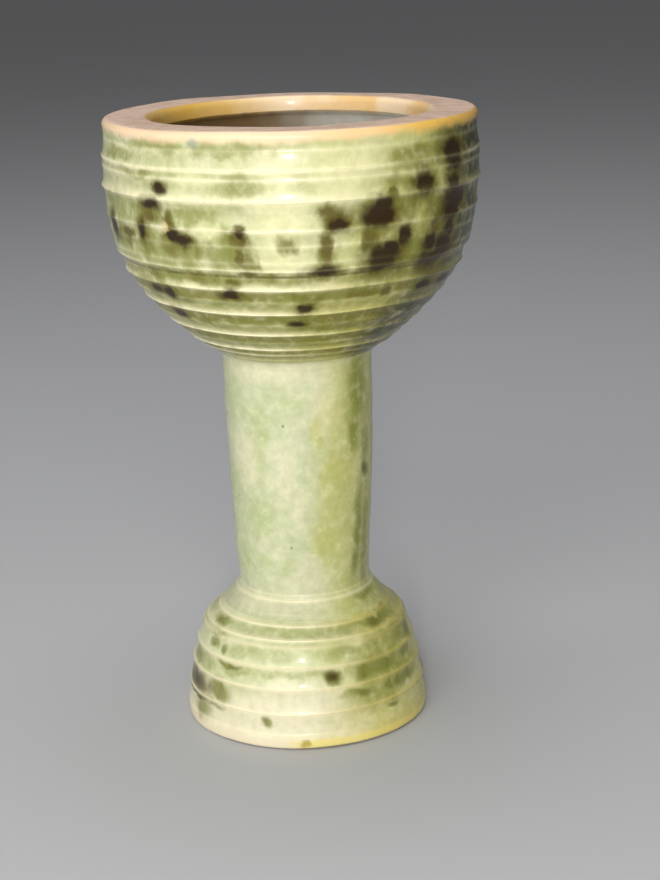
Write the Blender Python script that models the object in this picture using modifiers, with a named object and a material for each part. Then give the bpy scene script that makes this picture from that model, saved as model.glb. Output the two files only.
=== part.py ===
"""Hand-thrown stoneware communion chalice.

The chalice is thrown in three sections on the wheel, a bowl, a stem and a bell foot,
which are joined with slip while the clay is leather-hard. The bowl's turned tenon sits
in the top of the hollow stem, and the foot's vented spigot sits in its lower end. A
rolled coil of clay is smoothed into the corner above the foot.

Sizes are in millimetres until they are turned into Blender's metres by turned().
The origin is the middle of the foot ring, on the table, and +Z is up.
"""

import math

import bpy

MM = 0.001
STEPS = 48  # flats round each turned piece
GAP = 0.3  # clearance that touching pieces keep

# Driving dimensions
HEIGHT = 165.0
RIM_RADIUS = 48.6
MOUTH_RADIUS = 36.2
STEM_TOP_RADIUS = 19.9
STEM_FOOT_RADIUS = 17.6
FOOT_RADIUS = 33.0
SLIP_THICKNESS = 0.7

# Levels of the two luted joints
BOWL_SEAT = 102.0
FOOT_SEAT = 33.6
STEM_TOP = BOWL_SEAT - 2 * GAP - SLIP_THICKNESS
STEM_BOTTOM = FOOT_SEAT + 2 * GAP + SLIP_THICKNESS

# The bowl's tenon and the foot's spigot, both in the stem's bore
STEM_BORE = 12.5
TENON_RADIUS = STEM_BORE - 2 * GAP - SLIP_THICKNESS
TENON_LENGTH = 7.0
SPIGOT_LENGTH = 8.4
VENT_RADIUS = 6.0

# The bowl's hollow is the lower half of a ball, under a heavy rim that turns inwards
HOLLOW_RADIUS = 41.0
HOLLOW_CENTRE = 148.5
RIM_ROUND = 1.7
LIP_DEPTH = 4.0
UNDERCUT_ROUND = 1.6
UNDERCUT_RISE = 1.1
UNDERCUT_START = 22.5  # degrees above the widest part of the hollow

# The shoulder where the bowl's underside meets the stem
SHOULDER_REACH = 1.6
SHOULDER_RISE = 1.1

# The stem is a little fuller at half height than a plain taper
STEM_SWELL = 0.35
STEM_TAPER_POWER = 1.6

# The seat for the stem on top of the foot, and the shoulder down to the first ridge
FOOT_SEAT_RADIUS = 20.5
FOOT_SHOULDER = (22.1, 32.3)

# The coil's size across and up the corner above the foot
COIL_REACH = 2.3
COIL_RISE = 4.0

# The bell foot's hollow is half an ellipse, above a flat foot ring
BELL_RADIUS = 27.0
BELL_HEIGHT = 25.5
BELL_BASE = 3.0
RING_INNER_RADIUS = 28.2
RING_BEVEL_RISE = 0.8
RING_BEVEL_WIDTH = 1.3

# How far the slip stays back from the outside, and from the tenon's end
SLIP_SETBACK = 0.4

# Throwing ridges as (radius, height), from the top down. The wall is a little
# hollow between one ridge and the next.
BOWL_RIDGES = [
    (48.6, 160.4),
    (49.2, 155.6),
    (49.2, 153.2),
    (49.4, 148.2),
    (48.5, 141.1),
    (46.7, 133.5),
    (46.1, 130.9),
    (44.3, 128.8),
    (43.9, 125.9),
    (39.2, 118.9),
    (33.7, 112.9),
    (29.1, 108.4),
    (26.1, 106.0),
]
FOOT_RIDGES = [
    (23.4, 31.3),
    (26.9, 28.4),
    (28.2, 26.4),
    (29.8, 21.6),
    (31.3, 15.8),
    (32.5, 9.4),
    (FOOT_RADIUS, 3.1),
]
SCALLOP = 0.07  # hollow between ridges, as a share of the distance between them

CLAY = (0.62, 0.45, 0.30, 1.0)
GREEN_GLAZE = (0.52, 0.58, 0.33, 1.0)
PALE_GLAZE = (0.66, 0.70, 0.50, 1.0)
GLOSSY = 0.2
MATT = 0.8


def clear_scene():
    for obj in list(bpy.data.objects):
        bpy.data.objects.remove(obj, do_unlink=True)


def arc(centre, radius_x, radius_z, start, end, points):
    """Points on an ellipse in the profile plane, angles in degrees from +X."""
    found = []
    for i in range(points):
        angle = math.radians(start + (end - start) * i / (points - 1))
        x = centre[0] + radius_x * math.cos(angle)
        z = centre[1] + radius_z * math.sin(angle)
        found.append((x, z))
    return found


def scalloped(ridges):
    """The ridges with one hollow point between each pair, sunk towards the axis."""
    found = [ridges[0]]
    for (r0, z0), (r1, z1) in zip(ridges, ridges[1:]):
        length = math.hypot(r1 - r0, z1 - z0)
        inward_r, inward_z = (z1 - z0) / length, (r0 - r1) / length
        depth = SCALLOP * length
        middle_r = (r0 + r1) / 2 + depth * inward_r
        middle_z = (z0 + z1) / 2 + depth * inward_z
        found += [(middle_r, middle_z), (r1, z1)]
    return found


def fired(name, colour, roughness):
    material = bpy.data.materials.new(name)
    material.use_nodes = True
    shader = material.node_tree.nodes["Principled BSDF"]
    shader.inputs["Base Color"].default_value = colour
    shader.inputs["Roughness"].default_value = roughness
    shader.inputs["Metallic"].default_value = 0.0
    return material


def turned(name, profile, material, chalice):
    """A profile of (radius, height) turned round the Z axis. It runs down its outer
    side and up its inner side. One that doesn't start on the axis is a closed loop."""
    mesh = bpy.data.meshes.new(name)
    points = [(r * MM, 0.0, z * MM) for r, z in profile]
    edges = [(i, i + 1) for i in range(len(points) - 1)]
    if profile[0][0] > 0.0:
        edges.append((len(points) - 1, 0))
    mesh.from_pydata(points, edges, [])
    mesh.materials.append(material)
    obj = bpy.data.objects.new(name, mesh)
    chalice.users_collection[0].objects.link(obj)
    obj.parent = chalice
    screw = obj.modifiers.new("Turning", "SCREW")
    screw.axis = "Z"
    screw.angle = math.tau
    screw.steps = STEPS
    screw.render_steps = STEPS
    screw.use_merge_vertices = True
    screw.merge_threshold = 0.00001
    screw.use_smooth_shade = True
    obj.modifiers.new("Shading", "WEIGHTED_NORMAL")


def bowl_profile():
    """From the bottom of the hollow, up the inside, over the flat rim, down the
    ridged outside, and in under the tenon."""
    hollow = arc((0.0, HOLLOW_CENTRE), HOLLOW_RADIUS, HOLLOW_RADIUS, -90.0, 0.0, 10)
    undercut_x = HOLLOW_RADIUS - MOUTH_RADIUS - UNDERCUT_ROUND
    undercut_z = HEIGHT - LIP_DEPTH - UNDERCUT_RISE - HOLLOW_CENTRE
    undercut_centre = (MOUTH_RADIUS + UNDERCUT_ROUND, HOLLOW_CENTRE)
    undercut = arc(undercut_centre, undercut_x, undercut_z, UNDERCUT_START, 90.0, 4)
    lip_centre = (MOUTH_RADIUS + RIM_ROUND, HEIGHT - RIM_ROUND)
    lip = [(MOUTH_RADIUS, HEIGHT - LIP_DEPTH)]
    lip += arc(lip_centre, RIM_ROUND, RIM_ROUND, 180.0, 90.0, 4)
    edge_centre = (RIM_RADIUS - RIM_ROUND, HEIGHT - RIM_ROUND)
    edge = arc(edge_centre, RIM_ROUND, RIM_ROUND, 90.0, 0.0, 4)
    tenon_end = BOWL_SEAT - TENON_LENGTH
    underside = [
        (STEM_TOP_RADIUS + SHOULDER_REACH, BOWL_SEAT + SHOULDER_RISE),
        (STEM_TOP_RADIUS, BOWL_SEAT),
        (TENON_RADIUS, BOWL_SEAT),
        (TENON_RADIUS, tenon_end),
        (0.0, tenon_end),
    ]
    return hollow + undercut + lip + edge + scalloped(BOWL_RIDGES) + underside


def stem_profile():
    """A tube, waisted above the foot and fuller towards the bowl."""
    outer = []
    stations = 7
    for i in range(stations):
        share = i / (stations - 1)
        height = STEM_TOP + (STEM_BOTTOM - STEM_TOP) * share
        narrowing = (STEM_TOP_RADIUS - STEM_FOOT_RADIUS) * share**STEM_TAPER_POWER
        swell = STEM_SWELL * math.sin(math.pi * share)
        outer.append((STEM_TOP_RADIUS - narrowing + swell, height))
    return outer + [(STEM_BORE, STEM_BOTTOM), (STEM_BORE, STEM_TOP)]


def foot_profile():
    """From the top of the vented spigot, over the seat, down the ridged bell, under
    the foot ring and up the hollow to the vent."""
    spigot_top = FOOT_SEAT + SPIGOT_LENGTH
    outer = [
        (VENT_RADIUS, spigot_top),
        (TENON_RADIUS, spigot_top),
        (TENON_RADIUS, FOOT_SEAT),
        (FOOT_SEAT_RADIUS, FOOT_SEAT),
        FOOT_SHOULDER,
    ]
    ring = [
        (FOOT_RADIUS - RING_BEVEL_WIDTH / 3, RING_BEVEL_RISE),
        (FOOT_RADIUS - RING_BEVEL_WIDTH, 0.0),
        (RING_INNER_RADIUS, 0.0),
    ]
    vent_angle = math.degrees(math.acos(VENT_RADIUS / BELL_RADIUS))
    hollow = arc((0.0, BELL_BASE), BELL_RADIUS, BELL_HEIGHT, 0.0, vent_angle, 8)
    return outer + scalloped(FOOT_RIDGES) + ring + hollow


def slip_profile(washer_radius, washer_low, washer_high, sleeve_low, sleeve_high):
    """An L-shaped ring of slip: a washer between two seats, and a sleeve between
    tenon and bore that runs up from the washer or down from it."""
    inner = TENON_RADIUS + GAP
    outer = STEM_BORE - GAP
    washer = [(washer_radius, washer_high), (washer_radius, washer_low)]
    if sleeve_high > washer_high:
        above = [(inner, sleeve_high), (outer, sleeve_high), (outer, washer_high)]
        return above + washer + [(inner, washer_low)]
    below = [(outer, washer_low), (outer, sleeve_low), (inner, sleeve_low)]
    return [(inner, washer_high)] + washer + below


def bowl_slip_profile():
    low = STEM_TOP + GAP
    high = BOWL_SEAT - GAP
    end = BOWL_SEAT - TENON_LENGTH + SLIP_SETBACK
    return slip_profile(STEM_TOP_RADIUS - SLIP_SETBACK, low, high, end, low)


def foot_slip_profile():
    low = FOOT_SEAT + GAP
    high = STEM_BOTTOM - GAP
    end = FOOT_SEAT + SPIGOT_LENGTH - SLIP_SETBACK
    return slip_profile(STEM_FOOT_RADIUS - SLIP_SETBACK, low, high, high, end)


def coil_profile():
    """A coil of clay pressed into the corner between stem and foot, with a hollow
    outer side."""
    inner = STEM_FOOT_RADIUS + GAP
    low = FOOT_SEAT + GAP
    high = low + COIL_RISE
    middle = (inner + COIL_REACH, high)
    hollow = arc(middle, COIL_REACH - SLIP_SETBACK, COIL_RISE, 180.0, 262.0, 5)
    return [(inner, high)] + hollow + [(inner + COIL_REACH, low), (inner, low)]


def build_chalice():
    clear_scene()
    collection = bpy.data.collections.new("communion_chalice")
    bpy.context.scene.collection.children.link(collection)
    chalice = bpy.data.objects.new("chalice_axis", None)
    collection.objects.link(chalice)

    pieces = [
        ("bowl", bowl_profile(), GREEN_GLAZE, GLOSSY),
        ("bowl_joint_slip", bowl_slip_profile(), CLAY, MATT),
        ("stem", stem_profile(), PALE_GLAZE, GLOSSY),
        ("foot_joint_coil", coil_profile(), PALE_GLAZE, GLOSSY),
        ("foot_joint_slip", foot_slip_profile(), CLAY, MATT),
        ("foot", foot_profile(), GREEN_GLAZE, GLOSSY),
    ]
    for name, profile, colour, roughness in pieces:
        turned(name, profile, fired(name + " surface", colour, roughness), chalice)


build_chalice()
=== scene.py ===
# %% [markdown]
# # A hand-thrown communion chalice
#
# A potter throws this chalice in three sections on the wheel: a bowl with a heavy flat
# rim, a hollow stem and a bell-shaped foot. The sections are joined with slip while the
# clay is leather-hard, a coil of clay is smoothed round the bottom of the stem, and the
# whole pot gets one coat of a pale green celadon glaze that breaks to cream on every
# throwing ridge and carries dark iron spots.
#
# The packed model gives the sizes. Each visible piece is modelled again here with all of
# its ridges, and then gets its glaze from shader nodes. Everything stands in the packed
# model's own frame, in metres, with +Z up, and with the front of the pot towards -Y.

# %% Load the packed model
import math
import random

import bpy
from mathutils import Matrix, Vector


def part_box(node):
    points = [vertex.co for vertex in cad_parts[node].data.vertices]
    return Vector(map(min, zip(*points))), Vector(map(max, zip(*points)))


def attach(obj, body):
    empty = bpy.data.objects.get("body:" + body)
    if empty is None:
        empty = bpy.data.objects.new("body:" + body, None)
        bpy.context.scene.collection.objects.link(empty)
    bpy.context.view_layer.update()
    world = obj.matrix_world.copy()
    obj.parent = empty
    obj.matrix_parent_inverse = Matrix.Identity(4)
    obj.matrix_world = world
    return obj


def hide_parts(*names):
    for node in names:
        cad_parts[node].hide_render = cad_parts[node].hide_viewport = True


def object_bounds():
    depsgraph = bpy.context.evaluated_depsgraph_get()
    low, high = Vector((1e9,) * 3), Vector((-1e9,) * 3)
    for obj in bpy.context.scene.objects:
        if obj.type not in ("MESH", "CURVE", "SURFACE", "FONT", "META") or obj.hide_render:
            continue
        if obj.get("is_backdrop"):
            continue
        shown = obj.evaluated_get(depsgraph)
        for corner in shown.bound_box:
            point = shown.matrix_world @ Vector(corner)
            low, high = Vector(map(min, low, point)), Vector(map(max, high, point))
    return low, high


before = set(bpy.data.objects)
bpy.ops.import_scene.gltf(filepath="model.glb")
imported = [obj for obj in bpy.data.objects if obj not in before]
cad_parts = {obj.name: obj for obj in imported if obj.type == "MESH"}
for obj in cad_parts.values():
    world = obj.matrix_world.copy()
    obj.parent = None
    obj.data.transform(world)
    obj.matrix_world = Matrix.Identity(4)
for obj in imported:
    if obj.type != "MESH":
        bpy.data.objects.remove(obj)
cad_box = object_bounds()
print("CAD nodes:", ", ".join(sorted(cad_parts)))

# %% [markdown]
# ## The unit and the levels
#
# Potters measure in millimetres, so the script does too. One unit is a 165th of the
# chalice's height, which is a millimetre at its real size, so that every outline below
# grows and shrinks with the packed model. The levels of the joints are read from the
# nodes' boxes.

# %% Units and levels
HEIGHT = 165.0
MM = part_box("bowl")[1].z / HEIGHT


def level(node, side):
    """The height of a node's lowest (0) or highest (1) point, in millimetres."""
    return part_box(node)[side].z / MM


def reach(node):
    """A node's outer radius, in millimetres."""
    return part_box(node)[1].x / MM


STEM_TOP = level("stem", 1)
STEM_BOTTOM = level("stem", 0)
TENON_END = level("bowl", 0)
SPIGOT_TOP = level("foot", 1)
COIL_BOTTOM = level("foot_joint_coil", 0)
FOOT_RADIUS = reach("foot")
STEM_RADIUS = reach("stem")
BORE_RADIUS = 12.5
TENON_RADIUS = 11.2
print(f"stem from {STEM_BOTTOM:.1f} to {STEM_TOP:.1f} mm, foot radius {FOOT_RADIUS:.1f} mm")

# %% [markdown]
# ## Outlines
#
# A thrown pot is round about its axis, so one outline in the X-Z plane says all of its
# shape. It is a list of (radius, height) points. Round stretches are arcs. The wall
# between two throwing ridges is a shallow hollow, steep where it meets a ridge and flat
# in the middle, which is what a fingertip leaves as the wheel turns. That makes the
# ridges thin and sharp.

# %% Arcs and finger-marked walls
def arc(centre, radius_x, radius_z, start, end, points):
    """Points on an ellipse, from one angle to another in degrees from +X."""
    found = []
    for i in range(points):
        angle = math.radians(start + (end - start) * i / (points - 1))
        x = centre[0] + radius_x * math.cos(angle)
        z = centre[1] + radius_z * math.sin(angle)
        found.append((x, z))
    return found


def straight(start, end, points):
    """Points on a line, without its first end."""
    found = []
    for i in range(1, points + 1):
        share = i / points
        x = start[0] + (end[0] - start[0]) * share
        z = start[1] + (end[1] - start[1]) * share
        found.append((x, z))
    return found


FINGER_STEPS = (0.035, 0.09, 0.17, 0.28, 0.4, 0.52, 0.64, 0.75, 0.85, 0.92, 0.97)
FINGER_SINK = 0.062  # depth of a full-strength hollow, as a share of its length
FINGER_POWER = 0.55  # under 1, so that the hollow is steep beside the ridge


def finger_marked(ridges):
    """The wall through (height, radius, strength) ridges, from the top down."""
    found = [(ridges[0][1], ridges[0][0])]
    for (z0, r0, s0), (z1, r1, s1) in zip(ridges, ridges[1:]):
        length = math.hypot(r1 - r0, z1 - z0)
        inward = ((z1 - z0) / length, (r0 - r1) / length)
        for share in FINGER_STEPS:
            strength = s0 + (s1 - s0) * share
            hollow = (4 * share * (1 - share)) ** FINGER_POWER
            sink = FINGER_SINK * length * strength * hollow
            x = r0 + (r1 - r0) * share + sink * inward[0]
            z = z0 + (z1 - z0) * share + sink * inward[1]
            found.append((x, z))
        found.append((r1, z1))
    return found


print("one finger mark:", len(finger_marked([(10, 5, 1.0), (0, 5, 1.0)])), "points")

# %% [markdown]
# ## Turning an outline on the wheel
#
# A lathe tool in Blender is the Spin operator. The outline starts as a small plane that
# is merged to one vertex. That vertex is moved to the first point and extruded from
# point to point, as a line is drawn, and Spin then carries the line once round the Z
# axis. A Screw modifier would do the same and stay editable, but Spin needs no applying,
# and it shows best how a thrown form comes from a single line.

# %% Spin a piece
AROUND = 224  # flats round a fine piece


def only(piece):
    """Selects one object and makes it active."""
    bpy.ops.object.select_all(action="DESELECT")
    piece.select_set(True)
    bpy.context.view_layer.objects.active = piece


def throw(name, outline, around=AROUND, closed=True):
    """A turned piece. A closed outline joins its last point to its first. An open one
    starts and ends on the axis."""
    bpy.ops.object.select_all(action="DESELECT")
    bpy.ops.mesh.primitive_plane_add(size=MM, location=(0, 0, 0))
    piece = bpy.context.object
    piece.name = name
    piece.data.name = name
    points = [Vector((r * MM, 0, z * MM)) for r, z in outline]
    bpy.ops.object.mode_set(mode="EDIT")
    bpy.ops.mesh.select_all(action="SELECT")
    bpy.ops.mesh.merge(type="CENTER")
    bpy.ops.transform.translate(value=points[0])
    way = points + points[:1] if closed else points
    for here, there in zip(way, way[1:]):
        bpy.ops.mesh.extrude_vertices_move(TRANSFORM_OT_translate={"value": there - here})
    bpy.ops.mesh.select_all(action="SELECT")
    bpy.ops.mesh.remove_doubles(threshold=0.002 * MM)
    bpy.ops.mesh.spin(steps=around, angle=math.tau, center=(0, 0, 0), axis=(0, 0, 1))
    bpy.ops.mesh.select_all(action="SELECT")
    bpy.ops.mesh.remove_doubles(threshold=0.002 * MM)
    bpy.ops.mesh.normals_make_consistent(inside=False)
    bpy.ops.object.mode_set(mode="OBJECT")
    print(f"{name}: {len(piece.data.polygons)} faces")
    return piece


# %% [markdown]
# ## The bowl
#
# The bowl is a deep round cup with a rim 12 mm wide, which was pressed flat and turned
# in over the hollow. About a dozen clear throwing ridges run round its outside, with
# fainter ones between them, closer together underneath. A thin skirt of clay laps over
# the top of the stem, and a tenon below it goes down into the stem's bore.
#
# The ridges could be a displacement, but that would leave them soft and even. Here each
# is a point of the outline, with a strength of its own that says how deep the finger
# mark below it is and how bare of glaze it will be.

# %% The bowl's ridges, from the top down: height, radius, strength
BOWL_RIDGES = [
    (163.3, 48.6, 0.5),
    (160.3, 48.4, 0.5),
    (155.7, 49.2, 1.2),
    (153.4, 49.1, 0.8),
    (148.2, 49.4, 1.5),
    (141.2, 48.5, 0.8),
    (137.4, 47.7, 0.5),
    (133.3, 46.8, 0.45),
    (131.3, 46.3, 0.8),
    (129.6, 44.9, 0.4),
    (126.2, 44.3, 1.5),
    (122.8, 42.1, 0.3),
    (119.3, 39.7, 1.4),
    (116.0, 36.8, 0.25),
    (112.8, 33.8, 1.4),
    (110.2, 30.9, 0.3),
    (107.8, 28.3, 1.5),
    (105.9, 26.0, 0.7),
    (103.8, 22.6, 0.3),
]
widest = max(radius for _, radius, _ in BOWL_RIDGES)
print(f"{len(BOWL_RIDGES)} ridges, the widest {widest} mm in radius")

# %% The inside wall's faint lines
HOLLOW_RADIUS = 41.0
RIPPLE = 0.12  # height of the lines inside, in mm
BOWL_RIPPLE_LENGTH = 6.3


def rippled(points, depth, length):
    """Points with the faint throwing lines of a sponged inside wall."""
    found = []
    way = 0.0
    for (x0, z0), (x1, z1) in zip(points, points[1:]):
        way += math.hypot(x1 - x0, z1 - z0)
        ripple = depth * math.sin(math.tau * way / length)
        found.append((max(x1 + ripple * (0.3 + 0.7 * x1 / HOLLOW_RADIUS), 0.0), z1))
    return points[:1] + found


print(f"lines inside {BOWL_RIPPLE_LENGTH} mm apart")

# %% The rim and the skirt
HOLLOW_CENTRE = 148.5
MOUTH_RADIUS = 36.2
RIM_RADIUS = BOWL_RIDGES[0][1]
RIM_ROUND = 1.7
LIP_DEPTH = 4.0
UNDERCUT_IN = 1.6  # how far the undercut stops short of the mouth, in mm
UNDERCUT_DOWN = 1.1  # and how far below the lip
SKIRT = [
    (21.4, 103.0),
    (20.7, 102.4),
    (20.35, 101.7),
    (20.15, 100.9),
    (STEM_RADIUS - 0.02, 99.9),
    (STEM_RADIUS - 0.6, 101.4),
    (TENON_RADIUS, 102.0),
]


def rim_outline():
    """Under the lip, up into the mouth, across the flat top and over the outer edge."""
    narrowing = HOLLOW_RADIUS - MOUTH_RADIUS - UNDERCUT_IN
    rise = HEIGHT - LIP_DEPTH - UNDERCUT_DOWN - HOLLOW_CENTRE
    under = (MOUTH_RADIUS + UNDERCUT_IN, HOLLOW_CENTRE)
    undercut = arc(under, narrowing, rise, 12.0, 90.0, 8)
    inner = (MOUTH_RADIUS + RIM_ROUND, HEIGHT - RIM_ROUND)
    outer = (RIM_RADIUS - RIM_ROUND, HEIGHT - RIM_ROUND)
    inner_lip = straight(undercut[-1], (MOUTH_RADIUS, HEIGHT - LIP_DEPTH), 3)
    inner_lip += arc(inner, RIM_ROUND, RIM_ROUND, 180.0, 90.0, 8)
    top = straight(inner_lip[-1], (RIM_RADIUS - RIM_ROUND, HEIGHT), 7)
    edge = arc(outer, RIM_ROUND, RIM_ROUND, 80.0, 8.0, 7)
    return undercut + inner_lip + top + edge


print(f"rim {RIM_RADIUS - MOUTH_RADIUS:.1f} mm wide, {len(rim_outline())} points")

# %% Throw the bowl
def bowl_outline():
    """Up the hollow, over the rim, down the ridges and in under the tenon."""
    hollow = arc((0.0, HOLLOW_CENTRE), HOLLOW_RADIUS, HOLLOW_RADIUS, -90.0, 0.0, 46)
    hollow = rippled(hollow, RIPPLE, BOWL_RIPPLE_LENGTH)
    tenon = straight(SKIRT[-1], (TENON_RADIUS, TENON_END), 3)
    tenon += straight(tenon[-1], (0.0, TENON_END), 3)
    return hollow + rim_outline() + finger_marked(BOWL_RIDGES) + SKIRT + tenon


bowl = throw("thrown_bowl", bowl_outline(), closed=False)

# %% [markdown]
# ## The stem
#
# The stem is a thrown tube, thinned towards the foot and smoothed outside with a damp
# sponge, so it has no ridges, only the faint flats that a hand leaves. A plain cylinder
# would look machined, so the radius follows a curve: a taper that quickens downwards, a
# slight swell in the middle and a very faint wave.

# %% Throw the stem
STATIONS = 56  # steps along the stem
STEM_TAPER = 2.3  # how much thinner the bottom is, in mm
TAPER_POWER = 1.6
STEM_SWELL = 0.35
STEM_WAVE, STEM_WAVES = 0.05, 6.5
BORE_TURNS = 9
AROUND_STEM = 160  # flats round the stem and the coil


def stem_outline():
    """Down the outside, across the bottom and up the bore."""
    outer = []
    bore = []
    for i in range(STATIONS + 1):
        share = i / STATIONS
        down = STEM_TOP + (STEM_BOTTOM - STEM_TOP) * share
        radius = STEM_RADIUS - STEM_TAPER * share**TAPER_POWER
        radius += STEM_SWELL * math.sin(math.pi * share)
        radius += STEM_WAVE * math.sin(math.tau * share * STEM_WAVES)
        outer.append((radius, down))
        up = STEM_BOTTOM + (STEM_TOP - STEM_BOTTOM) * share
        bore.append((BORE_RADIUS + RIPPLE * math.sin(math.tau * share * BORE_TURNS), up))
    return outer + bore


stem = throw("thrown_stem", stem_outline(), around=AROUND_STEM)

# %% [markdown]
# ## The coil in the corner
#
# A joint between two thin edges is weak, so a potter presses a coil of soft clay into
# the corner above the foot and draws it down with a tool. The tool leaves one clear
# line with a faint one above it, and the coil becomes a hollow curve that runs out on to
# the foot. Beveling the corner would blend it away, so the coil is a ring of its own,
# turned like the rest.

# %% Throw the coil
COIL_LINES = [
    (39.6, 17.7, 0.0),
    (38.1, 18.0, 0.35),
    (36.8, 18.8, 1.0),
    (35.4, 19.8, 0.3),
    (33.9, 21.1, 0.3),
    (32.3, 22.3, 0.3),
]
COIL_INSIDE = [
    (21.7, 31.9),
    (20.4, COIL_BOTTOM),
    (17.9, COIL_BOTTOM),
    (17.4, 36.0),
    (17.4, 39.2),
]

coil = throw("corner_coil", finger_marked(COIL_LINES) + COIL_INSIDE, around=AROUND_STEM)

# %% [markdown]
# ## The foot
#
# The foot is a bell, thrown upside down and turned over. Seven ridges run round it, two
# of them close together. Below it is hollow, and it stands on a flat ring that was wiped
# clean of glaze. A spigot on top fits the stem's bore, with a vent through it, because
# air shut in a hollow stem would burst it in the kiln. It is turned like the bowl, but
# its outline is closed, since the vent leaves nothing on the axis.

# %% The foot's ridges, from the top down
FOOT_RIDGES = [
    (32.4, 22.1, 0.3),
    (31.3, 23.5, 1.05),
    (28.5, 26.8, 1.05),
    (26.9, 28.0, 0.7),
    (21.6, 29.9, 1.1),
    (16.0, 31.4, 1.1),
    (9.6, 32.5, 1.0),
    (4.1, FOOT_RADIUS, 0.6),
]
print(len(FOOT_RIDGES), "heights on the foot")

# %% Throw the foot
BELL_RADIUS = 27.0
BELL_HEIGHT = 25.5
BELL_BASE = 3.0
FOOT_RIPPLE_LENGTH = 5.1
VENT_RADIUS = 6.0
RING_INNER = 28.2
SEAT_RADIUS = 20.5
CLEARANCE = 0.3  # between the coil and the foot, in mm
HEM_ROUND = 1.0


def foot_outline():
    """Down from the spigot, over the ridges, under the ring and up the hollow."""
    seat = COIL_BOTTOM - CLEARANCE
    spigot = [(VENT_RADIUS, SPIGOT_TOP), (TENON_RADIUS, SPIGOT_TOP)]
    spigot += straight(spigot[-1], (TENON_RADIUS, seat), 3)
    spigot += straight(spigot[-1], (SEAT_RADIUS, seat), 3)
    edge = arc((FOOT_RADIUS - HEM_ROUND, HEM_ROUND), 0.95, HEM_ROUND, 5.0, -90.0, 8)
    ring = straight(edge[-1], (RING_INNER, 0.0), 3)
    vent_angle = math.degrees(math.acos(VENT_RADIUS / BELL_RADIUS))
    hollow = arc((0.0, BELL_BASE), BELL_RADIUS, BELL_HEIGHT, 0.0, vent_angle, 34)
    hollow = rippled(hollow, RIPPLE, FOOT_RIPPLE_LENGTH)
    return spigot + finger_marked(FOOT_RIDGES) + edge + ring + hollow


foot = throw("thrown_foot", foot_outline())

# %% [markdown]
# ## Marks for the glaze
#
# The glaze runs thin on a ridge and pools in the hollow below it. A shader can't see
# the ridges, so each vertex gets two colour attributes while the piece is still true.
# In "throwing", red is 1 on a ridge, green is 1 in the hollow just under one, and blue
# is 1 on the outside. In "outline", red and green are the point's radius and height in
# millimetres. Both stay with the clay when the piece is then made a little uneven. The
# marks could be painted by hand, but worked out from the same list of ridges they always
# lie exactly on them.

# %% How bare or deep the glaze is at one point
CREST_WIDTH = 0.55  # reach of the cream crest line, in mm
THIN_ABOVE = 3.0  # how far thin glaze reaches up a ridge, for each step of strength over 1
THIN_SHARE = 0.7
LEAST_REACH = 0.1
POOL_MIDDLE = 1.7  # the pool's middle, this far below a crest
POOL_REACH = 1.8  # and how far it spreads from there


def fading(away, spread):
    """1 at no distance, and falling off smoothly."""
    return math.exp(-((away / spread) ** 2))


def ridge_marks(radius, height, ridges, outside):
    ridge = 0.0
    pool = 0.0
    for z, r, strength in ridges if outside else []:
        away = math.hypot(height - z, radius - r)
        crest = fading(away, CREST_WIDTH)
        if height > z:
            above = max(THIN_ABOVE * (strength - 1.0), LEAST_REACH)
            crest = max(crest, THIN_SHARE * fading(away, above))
        else:
            pool = max(pool, strength * fading(away - POOL_MIDDLE, POOL_REACH))
        ridge = max(ridge, strength * crest)
    return (min(ridge, 1.0), min(pool, 1.0), float(outside), 1.0)


print("just on a full ridge:", ridge_marks(10.0, 10.0, [(10.0, 10.0, 1.0)], True))

# %% What counts as outside
RIM_MIDDLE = 43.0  # the outside glaze begins halfway over the rim's top
IN_THE_WALL = 1.5  # anywhere inside the clay will do as the border


def outside_bowl(radius, height):
    """Outside the middle of the wall, or beyond the middle of the rim's top."""
    if height > HEIGHT - LIP_DEPTH - 2:
        return radius > RIM_MIDDLE
    return math.hypot(radius, height - HOLLOW_CENTRE) > HOLLOW_RADIUS + IN_THE_WALL


def outside_stem(radius, height):
    return radius > BORE_RADIUS + 2


def outside_foot(radius, height):
    """Above and beyond the bell-shaped hollow."""
    bell = math.hypot(radius / (BELL_RADIUS + 1), (height - BELL_BASE) / (BELL_HEIGHT + 1))
    return bell > 1.0 and height > 0.05


print("the rim's outer edge is outside:", outside_bowl(RIM_RADIUS, HEIGHT))

# %% Paint the two attributes
def mark_throwing(piece, ridges, is_outside):
    """Writes both attributes, from the same ridges that made the outline."""
    throwing = piece.data.color_attributes.new("throwing", "FLOAT_COLOR", "POINT")
    outline = piece.data.color_attributes.new("outline", "FLOAT_COLOR", "POINT")
    known = {}
    for vertex, mark, spot in zip(piece.data.vertices, throwing.data, outline.data):
        height = vertex.co.z / MM
        radius = math.hypot(vertex.co.x, vertex.co.y) / MM
        spot.color = (radius, height, 0.0, 1.0)
        ring = (round(radius, 3), round(height, 3))
        if ring not in known:
            known[ring] = ridge_marks(radius, height, ridges, is_outside(radius, height))
        mark.color = known[ring]


mark_throwing(bowl, BOWL_RIDGES, outside_bowl)
mark_throwing(stem, [], outside_stem)
mark_throwing(coil, COIL_LINES[1:3], outside_stem)
mark_throwing(foot, FOOT_RIDGES, outside_foot)
print("marked", len(BOWL_RIDGES) + len(FOOT_RIDGES) + 2, "ridges")

# %% [markdown]
# ## Uneven by hand
#
# Nothing thrown is quite true. Three Displace modifiers with soft cloud textures push
# the clay a fraction of a millimetre along X, Y and Z. Proportional editing would do it
# by eye, but all the pieces share the same textures in the same place here, so the
# joints still meet. A fourth, finer one dents the stem and the coil, which were smoothed
# by hand.

# %% Displace the pieces
def soft_clouds(name, size, basis):
    texture = bpy.data.textures.new(name, "CLOUDS")
    texture.noise_scale = size * MM
    texture.noise_depth = 1
    texture.noise_basis = basis
    return texture


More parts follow.
